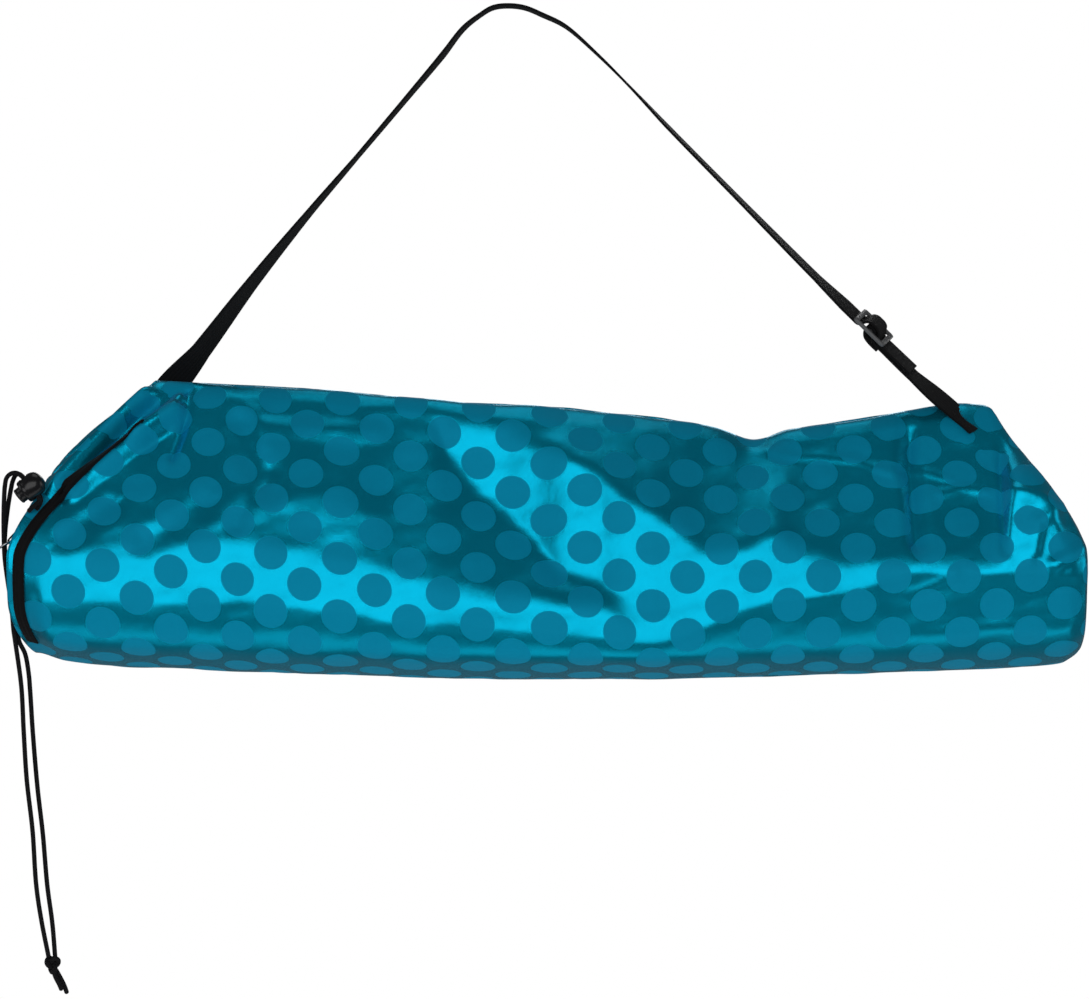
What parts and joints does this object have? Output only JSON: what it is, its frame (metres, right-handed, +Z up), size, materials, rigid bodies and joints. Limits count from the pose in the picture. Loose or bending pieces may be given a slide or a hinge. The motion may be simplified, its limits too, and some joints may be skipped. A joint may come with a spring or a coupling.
{
  "type": "yoga mat bag",
  "caption": "Long round cloth bag for a rolled mat, with a drawstring mouth at one end, a sewn end panel at the other and an adjustable shoulder strap of webbing.",
  "frame": {"origin": "underside of the webbing at the top of the strap, where the bag is hung up", "axes": "+X along the bag towards the closed end, +Y away from the face with the folds, +Z up"},
  "size_m": [0.6913, 0.1366, 0.6372],
  "materials": {
    "satin_cloth": "satin weave with matte printed dots",
    "black_webbing": "woven webbing, matte",
    "black_cord": "braided, matte",
    "black_plastic": "glossy moulded",
    "grey_plastic": "semi-matte moulded",
    "bright_steel": "polished"
  },
  "bodies": {
    "root": {"bag_body": "satin_cloth", "end_panel": "satin_cloth", "mouth_cap": "satin_cloth", "mouth_band_front": "black_webbing", "mouth_band_back": "black_webbing", "strap_long": "black_webbing", "strap_anchor": "black_webbing", "strap_slider": "grey_plastic", "drawcord_left": "black_cord", "drawcord_right": "black_cord", "cord_knot": "black_cord", "lock_barrel": "black_plastic", "cord_ring": "bright_steel", "ring_tab": "black_webbing"},
    "button": {"lock_button": "black_plastic"}
  },
  "joints": [
    {"name": "button_press", "type": "slide", "parent": "root", "child": "button", "axis": [0.7771, 0, 0.6293], "range_m": [0, 0.003], "stiffness_N_per_m": 400, "springref_m": -0.01}
  ]
}
